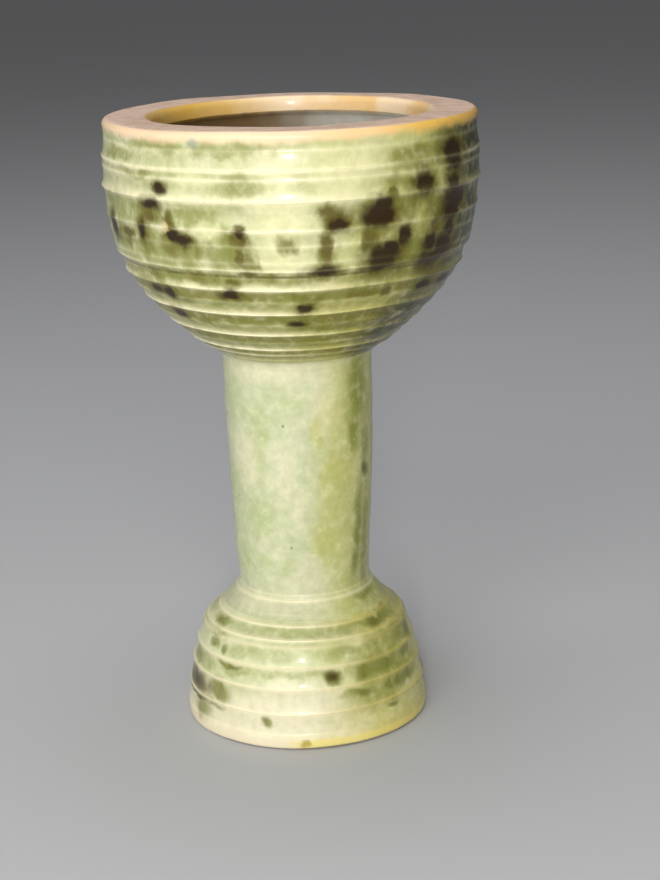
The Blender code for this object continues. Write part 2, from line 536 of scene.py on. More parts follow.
lean_x = soft_clouds("lean x", 62, "ORIGINAL_PERLIN")
lean_y = soft_clouds("lean y", 55, "IMPROVED_PERLIN")
waver = soft_clouds("waver", 38, "BLENDER_ORIGINAL")
dents = soft_clouds("dents", 13, "IMPROVED_PERLIN")


def push(piece, texture, direction, strength):
    only(piece)
    displace = piece.modifiers.new("push", "DISPLACE")
    displace.texture = texture
    displace.texture_coords = "LOCAL"
    displace.direction = direction
    displace.strength = strength * MM
    displace.mid_level = 0.5
    bpy.ops.object.modifier_apply(modifier=displace.name)


THROWN = (bowl, stem, coil, foot)
for piece in THROWN:
    push(piece, lean_x, "X", 1.6)
    push(piece, lean_y, "Y", 1.4)
    push(piece, waver, "Z", 1.0)
push(stem, dents, "NORMAL", 0.8)
push(coil, dents, "NORMAL", 0.5)
print("box after wobble:", [round(v / MM, 2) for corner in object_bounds() for v in corner])

# %% [markdown]
# ## Shading
#
# The pieces are shaded smooth. Marking sharp edges by hand would do, but the glaze has
# run over every arris, so an angle says enough: only the edges of the flat ring and the
# spigot, which turn by more than 50 degrees, stay sharp.

# %% Shade smooth
SHARP = math.radians(50)
for piece in THROWN:
    only(piece)
    bpy.ops.object.shade_smooth_by_angle(angle=SHARP)
print("shaded smooth:", ", ".join(piece.name for piece in THROWN))

# %% [markdown]
# ## Shader sums
#
# A glaze is many thin effects laid over each other, and in nodes that soon becomes a
# tangle. Here a small class, Value, wraps a socket, so that sums on it are written as
# Python and become Math nodes. Any other node comes from Recipe.node, which takes the
# node's type, its settings and what goes into its sockets.

# %% Values that can be added and multiplied
class Value:
    """A number that varies over the surface."""

    def __init__(self, recipe, socket):
        self.recipe = recipe
        self.socket = socket

    def math(self, operation, *others):
        inputs = dict(enumerate((self, *others)))
        return self.recipe.node("ShaderNodeMath", {"operation": operation}, inputs)

    def __add__(self, other):
        return self.math("ADD", other)

    def __radd__(self, other):
        return self.math("ADD", other)

    def __sub__(self, other):
        return self.math("SUBTRACT", other)

    def __rsub__(self, other):
        inputs = {0: other, 1: self}
        return self.recipe.node("ShaderNodeMath", {"operation": "SUBTRACT"}, inputs)

    def __mul__(self, other):
        return self.math("MULTIPLY", other)

    def __rmul__(self, other):
        return self.math("MULTIPLY", other)

    def at_least(self, other):
        return self.math("MAXIMUM", other)

    def at_most(self, other):
        return self.math("MINIMUM", other)

    def clamped(self):
        return self.at_least(0.0).at_most(1.0)

    def step(self, low, high):
        """0 below low and 1 above high, with a smooth rise between. With low above
        high it falls instead."""
        inputs = {0: self, 1: min(low, high), 2: max(low, high)}
        inputs[3], inputs[4] = (0.0, 1.0) if low < high else (1.0, 0.0)
        settings = {"interpolation_type": "SMOOTHSTEP"}
        return self.recipe.node("ShaderNodeMapRange", settings, inputs)


print("a value can:", ", ".join(name for name in vars(Value) if name[0] != "_"))

# %% A material's nodes
class Recipe:
    """One material's nodes."""

    def __init__(self, name):
        self.material = bpy.data.materials.new(name)
        self.material.use_nodes = True
        self.tree = self.material.node_tree
        self.shader = self.tree.nodes["Principled BSDF"]

    def plug(self, socket, value):
        if isinstance(value, Value):
            self.tree.links.new(value.socket, socket)
        else:
            socket.default_value = value

    def node(self, kind, settings, inputs, output=0):
        made = self.tree.nodes.new(kind)
        for name, value in settings.items():
            setattr(made, name, value)
        for name, value in inputs.items():
            self.plug(made.inputs[name], value)
        return Value(self, made.outputs[output])

    def mix(self, share, first, second):
        """A blend of two colours: all first at 0 and all second at 1."""
        inputs = {0: share, 6: first, 7: second}
        return self.node("ShaderNodeMix", {"data_type": "RGBA"}, inputs, output=2)

    def vector(self, operation, *inputs):
        wanted = dict(enumerate(inputs))
        return self.node("ShaderNodeVectorMath", {"operation": operation}, wanted)

    def noise(self, place, size, detail=2.0, roughness=0.5, stretch=(1, 1, 1)):
        """Noise with blobs about so many millimetres across, from 0 to 1."""
        scaled = self.vector("MULTIPLY", place, tuple(s / (size * MM) for s in stretch))
        inputs = {"Vector": scaled, "Scale": 1.0, "Detail": detail, "Roughness": roughness}
        return self.node("ShaderNodeTexNoise", {}, inputs)


print("a recipe can:", ", ".join(name for name in vars(Recipe) if name[0] != "_"))

# %% Colours
def tone(red, green, blue):
    """A colour as a screen shows it, from 0 to 255, turned to linear light."""
    linear = []
    for part in (red, green, blue):
        share = part / 255
        dark = share <= 0.04045
        linear.append(share / 12.92 if dark else ((share + 0.055) / 1.055) ** 2.4)
    return (*linear, 1.0)


print("middle grey in linear light:", round(tone(128, 128, 128)[0], 3))

# %% [markdown]
# ## Where a point is on the pot
#
# Glaze patterns follow the pot's surface, so each point is named by its angle round the
# axis and its height, like a place on a globe. Angle 0 is the front, -Y, and it grows
# towards +X. A spot is then an ellipse in that map, and its distance field is 1 on its
# outline. The nearest of many spots is the smallest of their fields. Soft noise bends
# the map first, so that no spot is a true ellipse. Spots could be painted on an image,
# but as a field they stay sharp at any size, and can grow halos and ragged edges.
#
# The noises come in the sizes that a glaze has: wide patches, mottling, runs that are
# drawn out downwards, blotches, specks and grain.

# %% The map of angle and height
class Pot(Recipe):
    """A recipe that knows the map, the throwing marks and a few shared noises."""

    def __init__(self, name):
        super().__init__(name)
        self.place = self.node("ShaderNodeTexCoord", {}, {}, output="Object")
        x, y, _ = self.parts("ShaderNodeSeparateXYZ", self.place)
        self.across = x * (1 / MM)
        self.angle = x.math("ARCTAN2", y * -1.0) * math.degrees(1.0)
        self.ridge, self.pool, self.outside = self.attribute("throwing")
        self.radius, self.height, _ = self.attribute("outline")
        flat = self.node("ShaderNodeCombineXYZ", {}, {0: self.angle, 1: self.height})
        self.map = self.bent(flat, 6.0, (9.0, 6.0))
        self.fine_map = self.bent(flat, 2.6, (3.6, 2.2))
        self.patches = self.noise(self.place, 16, detail=3)
        self.mottle = self.noise(self.place, 5, detail=4, stretch=(1, 1, 0.6))
        self.flow = self.noise(self.place, 4, detail=3, stretch=(1, 1, 0.22))
        self.blotch = self.noise(self.place, 3.4, detail=3, stretch=(1, 1, 0.7))
        self.grain = self.noise(self.place, 1.1, detail=2)
        self.speck = self.noise(self.place, 2.8, detail=3, roughness=0.6)

    def bent(self, flat, size, reach):
        """The map, pushed about by noise with blobs of the given size."""
        near = self.vector("MULTIPLY", self.place, (1 / (size * MM),) * 3)
        wanted = {"Vector": near, "Scale": 1.0, "Detail": 3.0}
        bend = self.node("ShaderNodeTexNoise", {}, wanted, output="Color")
        middle = (-reach[0] / 2, -reach[1] / 2, 0.0)
        shift = self.vector("MULTIPLY_ADD", bend, (*reach, 0.0), middle)
        return self.vector("ADD", flat, shift)

    def parts(self, kind, whole):
        split = self.node(kind, {}, {0: whole}).socket.node
        return [Value(self, socket) for socket in split.outputs]

    def attribute(self, name):
        settings = {"attribute_name": name}
        colour = self.node("ShaderNodeAttribute", settings, {}, output="Color")
        return self.parts("ShaderNodeSeparateColor", colour)

    def nearest(self, spots, fine=False):
        """The distance field of (angle, height, width, tallness) spots, in degrees
        and millimetres. The fine map keeps them nearer to true ellipses."""
        nearest = None
        where = self.fine_map if fine else self.map
        for angle, height, width, tallness in spots:
            scale = (2 / width, 2 / tallness, 0.0)
            offset = (-2 * angle / width, -2 * height / tallness, 0.0)
            inside = self.vector("MULTIPLY_ADD", where, scale, offset)
            settings = {"operation": "LENGTH"}
            field = self.node("ShaderNodeVectorMath", settings, {0: inside}, output="Value")
            nearest = nearest.at_most(field) if nearest else field
        return nearest


print("a pot can also:", ", ".join(name for name in vars(Pot) if name[0] != "_"))

# %% [markdown]
# ## The glaze
#
# Celadon gets its green from a little iron in a glaze fired with too little air. It is
# clear green where thick, and cream where it has run thin over a ridge, because the
# pale clay shows through. The dark spots are iron in the clay that has bled up through
# the glaze, each with an olive halo.
#
# One noise through a colour ramp would give an even marble. A real pot shows where its
# glaze stood, ran and thinned, so each effect is laid over the last, in the order of its
# depth. These are the colours and the washes that the pieces share.

# %% Glaze colours
CREAM = tone(251, 243, 202)
PALE = tone(215, 215, 172)
CELADON = tone(198, 202, 150)
THICK = tone(196, 193, 80)
GREEN = tone(128, 134, 60)
OLIVE = tone(108, 101, 30)
BROWN = tone(96, 86, 34)
DEEP = tone(66, 58, 18)
SHADE = tone(50, 52, 14)
IRON = tone(50, 35, 13)
BARE_CLAY = tone(186, 152, 122)
print("iron in linear light:", [round(part, 4) for part in IRON[:3]])

# %% Spots, washes and flecks
BROKEN = 1.5  # how far noise breaks up the edge of a wash


def scattered(seed, count, heights, widths, tallness):
    """Spots for the far side, which leave out the seam of the map at 180 degrees."""
    chance = random.Random(seed)
    spots = []
    for _ in range(count):
        angle = chance.choice((-1, 1)) * chance.uniform(78, 168)
        width = chance.uniform(*widths)
        spots.append((angle, chance.uniform(*heights), width, chance.uniform(*tallness)))
    return spots


def washed(pot, field, broken=BROKEN):
    """Patches of a distance field, with the soft broken edge of a watercolour wash."""
    ragged = field + (pot.blotch - 0.5) * broken
    return (ragged.step(1.45, 0.35) * (pot.mottle * 0.8 + 0.6)).clamped()


def flecked(pot, colour):
    """The fine cloudy grain of a fired glaze, laid over everything but the iron."""
    colour = pot.mix(pot.speck.step(0.45, 0.8) * 0.3, colour, CREAM)
    return pot.mix(pot.speck.step(0.55, 0.15) * 0.22, colour, GREEN)


def thick_side(pot):
    """1 on the right of the front, where the glaze is thicker and yellower."""
    bent = pot.angle + (pot.patches - 0.5) * 34
    return bent.step(0, 42) * bent.step(150, 110)


example = scattered(1, 1, (100, 160), (3, 9), (2, 6))[0]
print("a spot on the far side:", [round(part, 1) for part in example])

# %% [markdown]
# ## Gloss and skin
#
# A fired glaze is a thin sheet of glass with a skin that is never quite flat. A low
# roughness alone would make it a mirror. A faint coat over a slightly rougher body gives
# the wet look, and a bump gives it the orange-peel skin, the shallow dents and the lines
# of throwing. Bare clay and thick iron are matt. What is the same all over, such as the
# index of refraction, is set straight on the shader.

# %% Gloss and skin
GLAZE_IOR = 1.45
GLAZE_SPECULAR = 0.28
PEEL, DENTS = 0.05, 0.12  # heights of the skin's bumps, in mm


def glaze_skin(pot, matt, throwing):
    """Gloss and skin that every glazed piece shares. Returns its material."""
    peel = pot.noise(pot.place, 2.6, detail=1) * PEEL
    lines = pot.noise(pot.place, 1.3, detail=2, stretch=(0.12, 0.12, 1)) * throwing
    hollow = pot.noise(pot.place, 7, detail=1) * DENTS
    height = peel + lines + hollow - matt * 0.05
    relief = {"Strength": 1.0, "Distance": MM, "Height": height}
    bump = pot.node("ShaderNodeBump", {}, relief)
    pot.shader.inputs["IOR"].default_value = GLAZE_IOR
    pot.shader.inputs["Specular IOR Level"].default_value = GLAZE_SPECULAR
    pot.shader.inputs["Coat Roughness"].default_value = 0.08
    pot.plug(pot.shader.inputs["Coat Weight"], 0.15 - matt * 0.14)
    pot.plug(pot.shader.inputs["Normal"], bump)
    pot.plug(pot.shader.inputs["Roughness"], 0.24 + pot.grain * 0.1 + matt * 0.3)
    return pot.material


print(f"skin {PEEL} mm high on dents of {DENTS} mm")

# %% [markdown]
# ## Glaze on the stem
#
# The stem was sponged smooth, so its glaze has no ridges to break on. It lies in soft
# clouds of pale green and ivory, with mustard and green streaks on the right, where it
# ran thick; the darkest streaks are partly painted shade on the stem's right side. The
# clouds could all come from noise, but the eye knows a stem by its few large patches, so
# those are placed one by one, each as angle, height, width and tallness. Noise only
# breaks their edges, and seeded chance fills the far side.

# %% The stem's patches
STEM_GREEN = [
    (-3, 91, 20, 4.4),
    (-14, 47, 15, 4.6),
    (-33, 47, 16, 6),
    (-56, 47, 14, 6),
    (-32, 77, 14, 22),
    (-34, 60, 26, 14),
]
STEM_OLIVE = [
    (30, 70, 22, 22),
    (41, 76, 12, 8),
    (22, 64, 20, 26),
    (17, 54, 18, 14),
    (14, 82, 8, 10),
]
# Dark streaks, mostly on the right: partly glaze that ran thick, partly painted shade.
STEM_DARK_AND_SHADE = [
    (50, 93, 24, 26),
    (46, 82, 13, 12),
    (60, 79, 12, 10),
    (62, 71, 12, 5),
    (53, 56, 12, 24),
    (49, 46, 10, 8),
    (64, 50, 14, 30),
    (56, 35.4, 30, 3),
]
STEM_CREAM = [
    (-12, 72, 16, 16),
    (-3, 61, 12, 16),
    (-45, 75, 22, 16),
    (4, 44, 26, 10),
    (20, 88, 22, 14),
    (50, 72, 10, 14),
    (-20, 100, 100, 7),
    (-20, 35.6, 110, 5),
]
STEM_IRON = [
    (-12.6, 85.3, 1.4, 0.7),
    (-9.6, 51.8, 1.2, 0.6),
    (59.6, 71.0, 7.0, 3.0),
]
STEM_BAND = (42, 98)  # heights where chance may put a patch
print("patches on the stem:", len(STEM_GREEN + STEM_OLIVE + STEM_DARK_AND_SHADE + STEM_CREAM))

# %% Glaze on the stem and its coil
STEM_PALE = tone(200, 203, 166)
STEM_CELADON = tone(188, 195, 152)
STEM_RUN = tone(213, 213, 177)
STEM_THICK = tone(194, 193, 98)
STEM_MOSS = tone(168, 182, 116)
STEM_IVORY = tone(220, 214, 181)
STEM_STRAW = tone(210, 204, 136)
STEM_MUSTARD = tone(180, 178, 80)
STEM_STREAK_AND_SHADE = tone(126, 134, 42)


def stem_colours(pot, thick):
    """The stem's cloudy glaze, which also covers the bowl's skirt that laps over it."""
    colour = pot.mix(pot.patches.step(0.38, 0.62), STEM_PALE, STEM_CELADON)
    colour = pot.mix(pot.flow.step(0.5, 0.75) * 0.4, colour, STEM_RUN)
    colour = pot.mix(thick * 0.6, colour, STEM_THICK)
    green = pot.nearest(STEM_GREEN + scattered(21, 8, STEM_BAND, (14, 30), (6, 22)))
    colour = pot.mix(washed(pot, green) * 0.4, colour, STEM_MOSS)
    cream = pot.nearest(STEM_CREAM).step(1.6, 0.2)
    colour = pot.mix(cream * 0.6, colour, pot.mix(thick, STEM_IVORY, STEM_STRAW))
    olive = washed(pot, pot.nearest(STEM_OLIVE))
    colour = pot.mix(olive * 0.45, colour, STEM_MUSTARD)
    # Dark streaks: partly thick glaze, partly painted shade of the stem's right side.
    dark = pot.nearest(STEM_DARK_AND_SHADE + scattered(22, 4, STEM_BAND, (10, 18), (10, 26)))
    streak_and_shade = (dark.step(1.6, 0.2) * (0.45 + pot.flow * 0.9)).clamped()
    return flecked(pot, pot.mix(streak_and_shade * 0.85, colour, STEM_STREAK_AND_SHADE))


def stem_glaze():
    pot = Pot("stem_glaze")
    colour = stem_colours(pot, thick_side(pot))
    colour = pot.mix(pot.ridge * 0.5, colour, CREAM)
    field = pot.nearest(STEM_IRON + scattered(5, 5, STEM_BAND, (2, 5), (1, 2.6)), fine=True)
    colour = pot.mix(field.step(2.2, 0.4) * 0.6, colour, DEEP)
    colour = pot.mix(pot.outside, BARE_CLAY, colour)
    pot.plug(pot.shader.inputs["Base Color"], colour)
    return glaze_skin(pot, (1.0 - pot.outside) * 0.9, 0.02)


stem_finish = stem_glaze()
print("nodes in the stem's glaze:", len(stem_finish.node_tree.nodes))

# %% [markdown]
# ## Glaze on the rim and in the bowl
#
# Inside, the glaze breaks to an amber band at the lip. Below a painted shadow line the
# same glaze is painted grey-white, as in the rim's shade, and brown towards the left, as
# deeper painted shade. The flat top of the rim was wiped almost bare, and shows tan clay
# with dark grains. These could be three materials on three groups of faces, but their
# borders would be hard and follow the mesh. As masks on the point's own radius and height
# they can be ragged, and stay where they are when the clay is made uneven.

# %% Painted shade inside and the amber lip
# The height of the painted shadow line inside. Below it the wall is painted as in shade.
SHADOW_LINE_HEIGHT = 160.6
SHADED_GREY = tone(206, 202, 188)
SHADED_WHITE = tone(230, 231, 226)
DEEP_SHADE_BROWN = tone(130, 98, 42)
AMBER = tone(240, 200, 138)
AMBER_PALE = tone(248, 222, 184)
AMBER_DEEP = tone(222, 176, 62)


def inside_colours(pot):
    """Amber lip over painted shade: grey-white below the line, brown at the left."""
    ragged = pot.height + (pot.mottle - 0.5) * 1.6
    # Painted shade: below the shadow line the wall is painted brown towards the left.
    left_shade = (pot.across + (pot.mottle - 0.5) * 14).step(22, -14)
    shaded_wall = pot.mix(pot.patches.step(0.35, 0.65), SHADED_GREY, SHADED_WHITE)
    shaded_wall = pot.mix(left_shade * 0.9, shaded_wall, DEEP_SHADE_BROWN)
    amber = pot.mix(pot.patches.step(0.4, 0.6), AMBER, AMBER_PALE)
    amber = pot.mix(pot.across.step(-2, -24) * 0.8, amber, AMBER_DEEP)
    return pot.mix(ragged.step(SHADOW_LINE_HEIGHT - 0.8, SHADOW_LINE_HEIGHT + 0.8), shaded_wall, amber)


print(f"liner up to {SHADOW_LINE_HEIGHT} mm, amber above it")

# %% The rim's outer edge and its wiped top
EDGE_PEACH = tone(253, 215, 178)
EDGE_AMBER = tone(250, 198, 92)
SMUDGE = [(-28.6, 162.4, 4.0, 2.6)]
SMUDGE_BLUE = tone(130, 148, 150)
TAN = tone(228, 200, 180)
TAN_DARK = tone(210, 178, 158)
GRAIN = tone(120, 88, 62)


def rim_colours(pot, outside_glaze, thick):
    """The whole bowl's colour with its rim, and the mask of the wiped top."""
    colour = pot.mix(pot.outside, inside_colours(pot), outside_glaze)
    edge = pot.mix(thick, EDGE_PEACH, EDGE_AMBER)
    smudge = pot.nearest(SMUDGE, fine=True).step(1.5, 0.3)
    colour = pot.mix(smudge * 0.5, colour, SMUDGE_BLUE)
    low_edge = pot.height + (pot.mottle - 0.5) * 3.0
    band = low_edge.step(161.4, 163.8) * pot.outside * (0.85 - smudge * 0.6)
    colour = pot.mix(band, colour, edge)
    tan = pot.mix(pot.mottle.step(0.3, 0.7), TAN, TAN_DARK)
    tan = pot.mix(pot.grain.step(0.64, 0.72) * 0.6, tan, GRAIN)
    across = pot.radius + (pot.mottle - 0.5) * 0.8
    top = pot.height.step(164.3, 164.75) * across.step(36.9, 38.0) * across.step(48.0, 47.2)
    return pot.mix(top, colour, tan), top


print("smudges on the rim's edge:", len(SMUDGE))

# %% [markdown]
# ## Glaze on the bowl
#
# The bowl carries the richest glaze: mottled green between cream ridges, olive washes,
# and about thirty iron spots on the side that faces front. It turns thicker and yellower
# to the right and greener underneath. As on the stem, what the eye would miss is placed
# one by one and the rest is left to noise.
#
# The layers go on from the deepest up: the ground with the pools of glaze under the
# ridges, the green patches, the bare ridges, the flecks, the olive washes, and last the
# iron with its halos.

# %% Iron spots on the bowl
BOWL_IRON = [
    (-41.5, 151.0, 3.6, 2.6),
    (-46.0, 146.8, 6.4, 2.4),
    (-51.0, 139.6, 3.4, 4.0),
    (-37.4, 139.4, 4.6, 2.4),
    (-33.8, 138.3, 5.0, 2.0),
    (-71.0, 138.8, 5.0, 5.0),
    (-15.2, 140.6, 2.4, 2.0),
    (-21.4, 124.8, 5.4, 2.2),
    (-54.6, 124.4, 5.0, 2.0),
    (-47.4, 124.0, 4.0, 2.4),
    (3.0, 121.0, 5.0, 2.0),
    (0.6, 116.6, 5.0, 1.0),
    (-50.4, 117.6, 6.0, 2.0),
    (9.2, 131.0, 7.4, 2.4),
    (13.0, 142.4, 5.0, 2.4),
    (25.6, 143.6, 9.6, 5.4),
    (27.0, 146.4, 5.2, 3.6),
    (27.6, 132.6, 9.4, 5.8),
    (30.0, 135.4, 4.6, 3.4),
    (34.6, 137.8, 3.4, 4.2),
    (41.8, 150.0, 6.4, 4.0),
    (55.4, 157.0, 8.6, 5.2),
    (56.2, 154.0, 6.0, 3.4),
    (55.2, 149.0, 5.0, 4.0),
    (57.0, 145.2, 9.0, 5.4),
    (54.6, 142.0, 8.0, 5.0),
    (54.8, 138.2, 5.4, 5.6),
    (46.0, 135.2, 4.6, 4.4),
    (52.6, 133.4, 8.4, 6.0),
    (49.6, 131.0, 13.0, 3.4),
    (49.6, 123.8, 6.6, 2.4),
    (62.4, 123.6, 7.4, 2.4),
]
BOWL_BROWN = [
    (-46.6, 143.6, 6.0, 3.6),
    (-38.8, 142.8, 3.0, 4.4),
    (-59.0, 138.6, 6.0, 2.4),
    (-15.2, 142.0, 2.6, 2.4),
    (-15.4, 139.2, 4.6, 3.0),
    (-15.6, 135.0, 2.0, 3.4),
    (-13.8, 130.6, 5.4, 1.6),
    (-19.6, 128.2, 4.6, 1.6),
    (12.2, 143.6, 7.0, 4.4),
    (10.4, 145.6, 4.6, 3.4),
    (9.8, 137.0, 3.0, 7.4),
    (22.6, 138.8, 4.0, 6.0),
    (30.0, 148.8, 3.6, 2.4),
    (32.0, 123.6, 4.0, 2.2),
    (52.0, 127.4, 14.0, 4.0),
    (46.6, 139.6, 3.0, 4.0),
    (54.6, 140.6, 7.0, 14.0),
]
WARM_SPOT = [(-40.2, 141.2, 2.6, 3.0)]
print("dark spots on the bowl's front:", len(BOWL_IRON) + len(BOWL_BROWN))

# %% Washes on the bowl
BOWL_OLIVE = [
    (-46.0, 144.0, 13, 6),
    (-37.6, 143.2, 5, 6),
    (-50.0, 138.0, 8, 12),
    (-36.0, 137.0, 15, 6),
    (-60.0, 137.6, 18, 5),
    (-30.0, 128.6, 76, 4.0),
    (-19.0, 137.0, 12, 8),
    (-13.0, 133.0, 6, 6),
    (-1.6, 138.0, 5.4, 5.6),
    (12.0, 143.4, 10, 8),
    (9.6, 136.0, 6, 10),
    (23.0, 138.6, 6, 8),
    (33.0, 147.0, 20, 8),
    (36.0, 134.0, 26, 8),
    (-52.0, 124.6, 30, 5.4),
    (-20.0, 124.8, 11, 3.6),
    (4.0, 123.8, 20, 3.6),
    (22.0, 124.2, 30, 3.0),
    (2.0, 116.8, 16, 4.6),
    (-49.0, 117.2, 15, 4.2),
    (-38.0, 116.4, 9, 2.4),
    (-48.0, 111.6, 16, 2.0),
    (56.0, 124.0, 30, 6),
]
BOWL_GREEN = [
    (-62, 157.8, 20, 3),
    (-18, 160.6, 30, 3.6),
    (-42, 161.2, 34, 3.0),
    (-14, 151.6, 14, 6),
    (-52, 153.8, 18, 2.4),
    (-64, 144.0, 22, 10),
    (-30, 144.0, 12, 6),
    (-44, 135.6, 56, 10),
    (-44, 129.0, 64, 4),
    (-56, 126.4, 30, 5),
    (40, 157.0, 24, 6),
    (46, 144.0, 16, 12),
    (31, 151.4, 12, 4),
    (36, 134.0, 30, 14),
    (34, 127.6, 40, 4),
    (-20, 109.6, 90, 4),
    (-14, 117.0, 70, 2.6),
    (-30, 122.6, 60, 2.4),
    (20, 115.6, 60, 3.6),
    (44, 114.0, 40, 14),
]
# Pale places where the glaze ran thin over the clay. The first two, a tall strip and a
# patch down the front middle, are painted highlight: the soft sheen of the front light.
BOWL_THIN_AND_SHEEN = [
    (-4, 147, 15, 34),
    (-3, 133, 20, 6),
    (-56, 133.0, 9, 5),
    (-39, 141.8, 3, 3.4),
    (-29, 154, 12, 5),
    (14, 155, 22, 12),
    (-26, 141, 10, 3),
]
print("washes on the bowl's front:", len(BOWL_OLIVE) + len(BOWL_GREEN) + len(BOWL_THIN_AND_SHEEN))

# %% The bowl's ground and pools
BOWL_LOW = tone(168, 164, 78)
THIN_AND_SHEEN_CREAM = tone(232, 227, 176)


def ground(pot, green_share):
    """The mottled ground, greener where green_share is high."""
    colour = pot.mix(pot.patches.step(0.38, 0.62), PALE, CELADON)
    colour = pot.mix((pot.mottle.step(0.45, 0.75) * green_share).clamped(), colour, GREEN)
    return pot.mix(pot.flow.step(0.55, 0.78) * 0.25, colour, CREAM)


def bowl_ground(pot, low, thick):
    """The ground, greener underneath, with thin places, painted sheen and the pools."""
    colour = ground(pot, 0.3 + low * 0.3)
    colour = pot.mix(thick * 0.65, colour, THICK)
    colour = pot.mix(low * 0.6, colour, BOWL_LOW)
    # Thin glaze, and the painted sheen in the strip down the front middle.
    thin_and_sheen = pot.nearest(BOWL_THIN_AND_SHEEN).step(1.6, 0.3)
    colour = pot.mix(thin_and_sheen * 0.62, colour, THIN_AND_SHEEN_CREAM)
    pools = (pot.pool * (0.45 + low * 0.5 + pot.mottle * 0.6)).clamped()
    return pot.mix(pools * (0.4 + low * 0.4) * (1.0 - thin_and_sheen * 0.7), colour, OLIVE)


print("thin places on the bowl:", len(BOWL_THIN_AND_SHEEN))

# %% The bowl's washes and bare ridges
BOWL_CREST = tone(214, 208, 122)
# Painted shadow lies under the step, where the wall's underside faces down.
STEP_HEIGHT = 129.8  # a dark line lies where the wall steps out


def bowl_washes(pot, colour, low, thick, dusk, bare):
    """Green patches, the shade of the far right, cream ridges and olive washes."""
    green = pot.nearest(BOWL_GREEN + scattered(3, 12, (108, 160), (12, 28), (4, 14)))
    green = washed(pot, green)
    colour = pot.mix(green * 0.66, colour, pot.mix(thick, GREEN, OLIVE))
    colour = pot.mix((dusk * (0.75 + pot.mottle * 0.5)).clamped(), colour, SHADE)
    crest = pot.mix(thick * (0.4 + low * 0.5), CREAM, BOWL_CREST)
    colour = pot.mix(bare * (0.9 - thick * 0.45) * (1.0 - green * 0.6), colour, crest)
    colour = flecked(pot, colour)

    olive = pot.nearest(BOWL_OLIVE + scattered(4, 14, (110, 158), (8, 20), (3, 9)))
    olive_tone = pot.mix(pot.flow.step(0.35, 0.65), GREEN, OLIVE)
    colour = pot.mix(washed(pot, olive) * (0.85 - bare * 0.45), colour, olive_tone)
    # Painted shadow: a dark line in the groove under the step, whose underside faces down.
    step_shadow = (pot.height - STEP_HEIGHT).math("ABSOLUTE").step(0.6, 0.1)
    return pot.mix(step_shadow * pot.mottle.step(0.3, 0.5) * 0.7, colour, BROWN)


print(f"the wall steps out {STEP_HEIGHT} mm up")

# %% The bowl's iron
WARM = tone(214, 192, 140)


def bowl_iron(pot, colour, bare):
    """Brown stains, then the iron in its halos. Returns the iron's mask as well."""
    ragged = (pot.blotch - 0.5) * 0.9
    seen = 1.0 - bare * 0.35
    brown = pot.nearest(BOWL_BROWN, fine=True) + ragged
    colour = pot.mix(brown.step(1.7, 0.5) * seen * 0.9, colour, BROWN)
    far_side = scattered(8, 22, (116, 158), (3, 10), (2.4, 8))
    field = pot.nearest(BOWL_IRON + far_side, fine=True) + ragged
    halo = pot.mix(pot.mottle.step(0.35, 0.65), OLIVE, DEEP)
    colour = pot.mix(field.step(2.5, 1.1) * seen * 0.8, colour, halo)
    iron = field.step(1.5, 0.7) * seen
    colour = pot.mix(iron, colour, IRON)
    warm = pot.nearest(WARM_SPOT, fine=True).step(1.3, 0.6)
    return pot.mix(warm * 0.7, colour, WARM), iron


print(len(BOWL_IRON), "iron spots and", len(BOWL_BROWN), "brown stains at the front")

# %% Glaze on the bowl
def bowl_glaze():
    pot = Pot("bowl_glaze")
    low = pot.height.step(138, 118)
    turned = pot.angle + (pot.patches - 0.5) * 30 + low * 16
    thick = turned.step(2, 42) * turned.step(150, 110)
    dusk = turned.step(38, 65) * turned.step(160, 110)
    skirt = pot.height.step(103.4, 102.4)
    bare = (pot.ridge * (0.55 + pot.mottle * 0.7)).clamped() * (1.0 - skirt)

    colour = bowl_ground(pot, low, thick)
    colour = bowl_washes(pot, colour, low, thick, dusk, bare)
    colour, iron = bowl_iron(pot, colour, bare)
    colour = pot.mix(skirt, colour, stem_colours(pot, thick_side(pot)))
    colour, top = rim_colours(pot, colour, thick)
    pot.plug(pot.shader.inputs["Base Color"], colour)
    return glaze_skin(pot, (iron * 0.2 * pot.outside + top * 0.9).clamped(), 0.07)


bowl_finish = bowl_glaze()
print("nodes in the bowl's glaze:", len(bowl_finish.node_tree.nodes))

# %% [markdown]
# ## Glaze on the foot
#
# The foot's glaze is green near the top and runs out to cream lower down, with olive
# patches, a few iron spots and an amber drop at the hem. The ring that it stands on is
# bare clay, since glaze there would have stuck to the kiln shelf. The layers are those
# of the bowl, in fewer steps, with smoother edges to the washes.

# %% The foot's patches
FOOT_IRON = [
    (-73, 12.2, 24, 4.4),
    (-72, 8.5, 20, 0.9),
    (13, 19.0, 5.2, 2.6),
]
FOOT_OLIVE = [
    (-49, 12.8, 16, 5.4),
    (-62, 6.4, 16, 6.6),
    (-58, 9.0, 26, 2.0),
    (-60, 24.8, 12, 3.4),
    (-49, 24.2, 6, 3.0),
    (-58, 27.4, 18, 1.4),
    (-63, 30.0, 20, 2.6),
    (-45, 20.2, 16, 2.0),
    (-76, 18.4, 16, 4.4),
    (-19.6, 6.8, 4.4, 3.6),
    (31, 18.8, 14, 3.8),
    (38, 19.2, 30, 5.4),
    (45, 19.0, 14, 4.6),
    (58, 13.6, 24, 3.8),
    (45, 13.8, 6, 3.0),
    (27, 13.8, 18, 3.4),
    (54, 30.0, 36, 2.6),
    (64, 20.2, 12, 2.6),
    (13, 19.0, 9, 4.4),
    (45, 7.8, 8, 2.0),
    (74, 24.0, 12, 6.0),
]
